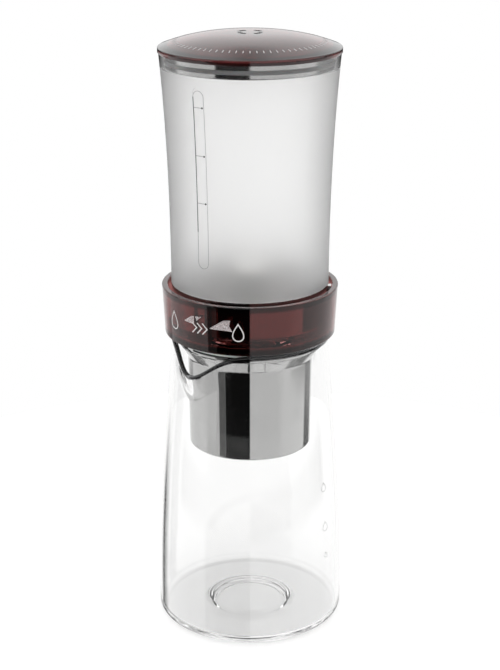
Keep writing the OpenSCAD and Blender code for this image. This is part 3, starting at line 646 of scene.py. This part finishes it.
def make_lid_ticks():
    """A plain printed ring of short ticks near the dome's edge."""
    points, faces = [], []
    for j in range(TICKS):
        turn = 360.0 * j / TICKS
        first = len(points)
        for i in range(4):
            r = TICK_INNER_R + (TICK_OUTER_R - TICK_INNER_R) * i / 3
            side = math.degrees(TICK_W / 2 / r)
            for step, lift in ((-side, -0.05), (-side, 0.05), (side, 0.05), (side, -0.05)):
                points.append(on_axis(r, turn + step, dome_z(r) + lift))
        for i in range(3):
            a = first + 4 * i
            faces += [(a + k, a + 4 + k, a + 4 + (k + 1) % 4, a + (k + 1) % 4) for k in range(4)]
        faces += [(first, first + 1, first + 2, first + 3),
                  (first + 15, first + 14, first + 13, first + 12)]
    ticks = add_piece("lid_ticks", points, faces, ink("lid_ink", (0.62, 0.60, 0.60)), smooth=False)
    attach(ticks, "lid")


# ---------- Printed marks ----------

MITRE_LEAST = 0.35            # keeps a line's sharp corners from running far out


def mark(name, paths, surface_r, width, material, body, lift=0.06, closed=True):
    """Thin raised lines along paths of (azimuth, z) on a turned surface of radius surface_r(z)."""
    points, faces = [], []
    for path in paths:
        mean_r = surface_r(sum(z for _, z in path) / len(path))
        flat = [Vector((math.radians(az) * mean_r, z)) for az, z in path]
        n = len(flat)
        first = len(points)
        for i, p in enumerate(flat):
            before = flat[i - 1] if closed or i else p
            after = flat[(i + 1) % n] if closed or i < n - 1 else p
            come, go = p - before, after - p
            d_in = (come if come.length > 1e-9 else go).normalized()
            d_out = go.normalized() if go.length > 1e-9 else d_in
            d = (d_in + d_out).normalized()
            side = Vector((-d.y, d.x)) * width / 2 / max(MITRE_LEAST, d.dot(d_out))
            for offset, height in ((side, -lift), (side, lift), (-side, lift), (-side, -lift)):
                q = p + offset
                points.append(on_axis(surface_r(q.y) + height, math.degrees(q.x / mean_r), q.y))
        for i in range(n if closed else n - 1):
            a, b = first + 4 * i, first + 4 * ((i + 1) % n)
            faces += [(a + k, a + (k + 1) % 4, b + (k + 1) % 4, b + k) for k in range(4)]
        if not closed:
            last = first + 4 * (n - 1)
            faces += [(first + 3, first + 2, first + 1, first),
                      (last, last + 1, last + 2, last + 3)]
    piece = add_piece(name, points, faces, material, smooth=False)
    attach(piece, body)


def drop(az, low, high, width_deg, steps=28):
    """A water drop's outline: a round foot and flanks that run up to a point."""
    r = width_deg / 2
    height = high - low
    path = []
    for i in range(steps):
        t = 2 * math.pi * i / steps
        path.append((az + r * math.sin(t) * math.sin(t / 2) ** 1.25 * 1.28,
                     low + height * (1 + math.cos(t)) / 2))
    return path


def patch(name, outlines, surface_r, material, body, lift=0.05, cell=0.35):
    """Thin filled shapes on a turned surface: convex outlines of (azimuth, z)."""
    points, faces = [], []
    for outline in outlines:
        low = min(z for _, z in outline)
        high = max(z for _, z in outline)
        rows = max(2, round((high - low) / cell))
        spans = []
        for i in range(rows + 1):
            z = low + (high - low) * min(0.999, max(0.001, i / rows))
            cuts = []
            for (a0, z0), (a1, z1) in zip(outline, outline[1:] + outline[:1]):
                if (z0 - z) * (z1 - z) < 0:
                    cuts.append(a0 + (a1 - a0) * (z - z0) / (z1 - z0))
            spans.append((min(cuts), max(cuts), z))
        across = 10
        first = len(points)
        for height in (lift, -lift):
            for start, end, z in spans:
                points += [on_axis(surface_r(z) + height, start + (end - start) * k / across, z)
                           for k in range(across + 1)]
        layer = (rows + 1) * (across + 1)
        for i in range(rows):
            for k in range(across):
                a = first + i * (across + 1) + k
                b = a + across + 1
                faces.append((a, a + 1, b + 1, b))
                faces.append((b + layer, b + 1 + layer, a + 1 + layer, a + layer))
        rim = [first + k for k in range(across)]
        rim += [first + i * (across + 1) + across for i in range(rows)]
        rim += [first + rows * (across + 1) + k for k in range(across, 0, -1)]
        rim += [first + i * (across + 1) for i in range(rows, 0, -1)]
        faces += [(b, a, a + layer, b + layer) for a, b in zip(rim, rim[1:] + rim[:1])]
    piece = add_piece(name, points, faces, material, smooth=False)
    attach(piece, body)


# The pale wedges on the ring that stand for a growing flow
WEDGES = (
    [(-47.3, 161.4), (-40.6, 164.6), (-38.4, 165.0), (-38.4, 161.3), (-40.5, 161.0)],
    [(-36.2, 162.9), (-37.4, 165.2), (-32.4, 165.3)],
    [(-26.4, 160.6), (-16.6, 165.3), (-12.4, 165.4), (-13.3, 162.6), (-11.2, 159.9),
     (-26.2, 160.2)],
)


# Outer face of the ring's wall, from its foot to its rim
ring_low, ring_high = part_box("regulator_ring")
RING_Z = ring_low.z / MM
RING_TOP_Z = ring_high.z / MM
RING_TOP_R = ring_high.x / MM
RING_FLARE = 1.25


def ring_r(z):
    """Radius of the ring's outer face at the height z."""
    return RING_TOP_R - RING_FLARE * (RING_TOP_Z - z) / (RING_TOP_Z - RING_Z)


def make_ring_marks():
    """The ring's two drops, the chevrons between them and the wedges of a growing flow."""
    white = ink("white_ink", (0.9, 0.88, 0.87))
    mark("ring_drops", [drop(-58.3, 155.2, 163.8, 8.0), drop(-7.5, 155.4, 163.7, 7.6)],
         ring_r, 0.55, white, "ring")
    chevrons = []
    for i in range(3):
        az = -39.9 + 4.0 * i
        chevrons.append([(az, 161.6 + 0.3 * i), (az + 3.5, 159.6), (az - 0.1, 156.8)])
    mark("ring_chevrons", chevrons, ring_r, 0.55, white, "ring", closed=False)
    patch("flow_wedges", WEDGES, ring_r, stipple("stippled_ink", (0.86, 0.80, 0.80)),
          "ring")


TANK_R = 37.7
TANK_FLARE = 4.35
FLARE_POWER = 2.3
FLARE_Z = 172.6
WINDOW_AZ = -34.3
WINDOW_W = 5.6
WINDOW_LOW = 187.2
WINDOW_HIGH = 269.6
LEVELS = (218.0, 240.0, 262.0)


def tank_wall_r(z):
    """Radius of the tank's outer face at the height z."""
    return TANK_R + TANK_FLARE * (max(0.0, z - FLARE_Z) / (RIM_Z - FLARE_Z)) ** FLARE_POWER


def make_window_marks():
    """The level window's moulded outline and its three level lines, drawn as grey lines of painted
    shade, darker down the left edge where the recess's wall is in shade, and the lines' dots.
    """
    def az(x, z):
        return WINDOW_AZ + math.degrees(x / tank_wall_r(z))
    r = WINDOW_W / 2
    low, high = WINDOW_LOW + r, WINDOW_HIGH - r
    outline = arc((0.0, low), r, 180, 360, 12)
    outline += between((r, low), (r, high), 12)[:-1]
    outline += arc((0.0, high), r, 0, 180, 12)
    outline += between((-r, high), (-r, low), 12)[:-1]
    faint = ink("moulded_edge_shade", (0.55, 0.55, 0.55))
    dark = ink("edge_shade_and_dot_ink", (0.10, 0.10, 0.10))
    # The outline and the level lines are painted shade along moulded edges.
    mark("window_edge", [[(az(x, z), z) for x, z in outline]], tank_wall_r, 0.22, faint,
         "tank")
    # Painted shade: a darker, wider line down the left, where the recess's wall is in shade.
    left = [[(az(x, z), z) for x, z in between((-r, low), (-r, high), 16)[2:]]]
    mark("window_left_edge", left, tank_wall_r, 0.34, dark, "tank", lift=0.07,
         closed=False)
    ticks = [[(az(x, z), z) for x in (-r + 0.2, 0.0, r - 1.0)] for z in LEVELS]
    mark("level_lines", ticks, tank_wall_r, 0.3, faint, "tank", lift=0.05,
         closed=False)
    dots = [[(az(r - 0.9 + 0.22 * math.sin(t), z), z + 0.22 * math.cos(t))
             for t in (2 * math.pi * i / 10 for i in range(10))] for z in LEVELS]
    mark("level_dots", dots, tank_wall_r, 0.44, dark, "tank", lift=0.07)


def make_carafe_marks():
    """Three drops that mark the carafe's fill levels."""
    etched = stipple("etched_glass", (0.55, 0.55, 0.55), 0.5)
    drops = [drop(55.3, 72.6, 77.0, 5.2), drop(55.3, 51.9, 56.6, 5.6), drop(55.3, 37.7, 40.3, 3.2)]
    mark("carafe_drops", drops, wall_r, 0.32, etched, "carafe")


# ---------- Stage, light and world ----------

# Panels round the object that its polished faces mirror: azimuths, elevations, brightness, the
# width of the soft edge in degrees, and whether they stand in sight of all faces, of those
# behind a clear wall only, or of outer faces only
ALL, BEHIND, OUTER = 0, 1, 2
PANELS = (
    (70.0, 290.0, 4.0, 90.0, 1.32, 14.0, ALL),         # the bright sweep above and behind
    (-90.0, 60.0, -90.0, 2.0, 0.86, 16.0, ALL),        # the front of the room
    (-59.0, -46.5, -90.0, -14.0, 0.16, 1.5, ALL),      # a grey flag
    (-46.5, 0.0, -90.0, -1.0, 0.008, 1.5, ALL),        # a black flag in front, to the left
    (122.0, 150.0, -90.0, -20.0, 0.03, 5.0, BEHIND),   # a black flag behind, to the right
    (80.0, 147.0, -20.5, -12.0, 0.03, 3.0, BEHIND),
    (98.0, 150.0, -12.5, -7.0, 0.04, 8.0, BEHIND),
    (-178.0, -112.0, -13.0, -6.0, 0.02, 8.0, BEHIND),
    (-130.0, -106.0, -20.5, -15.0, 0.03, 3.0, BEHIND),
    (-152.0, -132.0, -90.0, -20.8, 0.05, 4.0, OUTER),  # a dark flag behind, to the left
    (104.0, 256.0, -13.0, -2.0, 0.02, 6.0, OUTER),     # the dark edge of the sweep
    (-103.0, 112.0, -20.6, -16.6, 0.08, 1.6, OUTER),   # a dark cloth round the front
    (176.0, 186.0, 34.0, 62.0, 0.85, 8.0, ALL),        # a dimmer patch high behind
)
ROOM_LIGHT = 1.0
DEGREES = 180.0 / math.pi     # in a radian
FLOOR_R = 300.0
FLOOR_DROP = 0.2              # how far the floor lies under the carafe's foot
FLOOR_RINGS = 6
FLOOR_COLUMNS = 96


def make_world():
    """A round room with the panels in it; rays that meet the backdrop see plain white."""
    world = bpy.data.worlds.new("studio")
    world.use_nodes = True
    nodes = Nodes(world.node_tree)
    where = nodes.add("ShaderNodeTexCoord")
    split = nodes.add("ShaderNodeSeparateXYZ")
    nodes.link(where.outputs["Generated"], split.inputs["Vector"])
    x, y = split.outputs["X"], split.outputs["Y"]
    rise = nodes.math("MULTIPLY", nodes.math("ARCSINE", split.outputs["Z"]), DEGREES)
    light = ROOM_LIGHT
    path = nodes.add("ShaderNodeLightPath")
    behind = nodes.behind_wall(path)
    outer = nodes.math("SUBTRACT", 1.0, behind)
    for start, end, low, high, value, soft, sight in PANELS:
        middle = math.radians((start + end) / 2)
        across = nodes.math("ADD", nodes.math("MULTIPLY", x, math.cos(middle)),
                            nodes.math("MULTIPLY", y, math.sin(middle)))
        ahead = nodes.math("SUBTRACT", nodes.math("MULTIPLY", x, math.sin(middle)),
                           nodes.math("MULTIPLY", y, math.cos(middle)))
        turned = nodes.math("ABSOLUTE", nodes.math("ARCTAN2", across, ahead))
        away = nodes.math("MULTIPLY", turned, DEGREES)
        half = (end - start) / 2
        mask = nodes.spread(away, 1.0, 0.0, half - soft / 2, half + soft / 2)
        if low > -90.0:
            mask = nodes.math("MULTIPLY", mask,
                              nodes.spread(rise, 0.0, 1.0, low - soft / 2, low + soft / 2))
        if high < 90.0:
            mask = nodes.math("MULTIPLY", mask,
                              nodes.spread(rise, 1.0, 0.0, high - soft / 2, high + soft / 2))
        if sight != ALL:
            mask = nodes.math("MULTIPLY", mask, behind if sight == BEHIND else outer)
        step = nodes.math("MULTIPLY", mask, nodes.math("SUBTRACT", value, light))
        light = nodes.math("ADD", light, step)
    step = nodes.math("MULTIPLY", nodes.backdrop_share(), nodes.math("SUBTRACT", 1.0, light))
    seen = nodes.math("ADD", light, step)
    background = nodes.add("ShaderNodeBackground")
    output = nodes.add("ShaderNodeOutputWorld")
    nodes.link(seen, background.inputs["Color"])
    nodes.link(background.outputs["Background"], output.inputs["Surface"])
    scene.world = world


def make_floor():
    """A round table top with the object's shadow on it, for the rays that meet the backdrop; its
    glow grows with the distance from the axis, so it paints extra shade near the foot.
    """
    material, nodes, shader, output = new_material("floor", (0.86, 0.86, 0.86), 0.9)
    path = nodes.add("ShaderNodeLightPath")
    where = nodes.add("ShaderNodeTexCoord")
    reach = nodes.add("ShaderNodeVectorMath", operation="LENGTH")
    nodes.link(where.outputs["Object"], reach.inputs[0])
    # Painted shade: both glows are weakest near the axis, darkening the floor round and under the
    # foot beyond its real shadow, most where it is seen through the glass.
    near = nodes.spread(reach.outputs["Value"], 0.16, 0.6, 0.05, 0.13)
    far = nodes.spread(reach.outputs["Value"], 0.02, 0.14, 0.0, 0.11)
    glow = nodes.add("ShaderNodeEmission")
    nodes.link(nodes.math("ADD", nodes.math("MULTIPLY", path.outputs["Is Camera Ray"], near),
                          nodes.math("MULTIPLY", path.outputs["Is Transmission Ray"], far)),
               glow.inputs["Strength"])
    both = nodes.add("ShaderNodeAddShader")
    nodes.link(shader.outputs["BSDF"], both.inputs[0])
    nodes.link(glow.outputs["Emission"], both.inputs[1])
    clear = nodes.add("ShaderNodeBsdfTransparent")
    mix = nodes.add("ShaderNodeMixShader")
    nodes.link(nodes.backdrop_share(), mix.inputs["Fac"])
    nodes.link(clear.outputs["BSDF"], mix.inputs[1])
    nodes.link(both.outputs["Shader"], mix.inputs[2])
    nodes.link(mix.outputs["Shader"], output.inputs["Surface"])
    points = [Vector((0.0, 0.0, 0.0))]
    faces = []
    for i in range(1, FLOOR_RINGS + 1):
        points += [on_axis(FLOOR_R * i / FLOOR_RINGS, 360.0 * j / FLOOR_COLUMNS, 0.0)
                   for j in range(FLOOR_COLUMNS)]
    for j in range(FLOOR_COLUMNS):
        k = (j + 1) % FLOOR_COLUMNS
        faces.append((0, 1 + j, 1 + k))
        for i in range(FLOOR_RINGS - 1):
            a, b = 1 + i * FLOOR_COLUMNS, 1 + (i + 1) * FLOOR_COLUMNS
            faces.append((a + j, b + j, b + k, a + k))
    floor = add_piece("floor", points, faces, material)
    floor.location.z = -FLOOR_DROP * MM


scene.view_settings.view_transform = "Standard"
scene.cycles.max_bounces = 28
scene.cycles.glossy_bounces = 12
scene.cycles.transmission_bounces = 28
scene.cycles.transparent_max_bounces = 24
make_camera()
make_world()
make_floor()
dress_nodes()
make_carafe()
make_spring()
make_lid()
make_lid_ticks()
make_ring_marks()
make_window_marks()
make_carafe_marks()
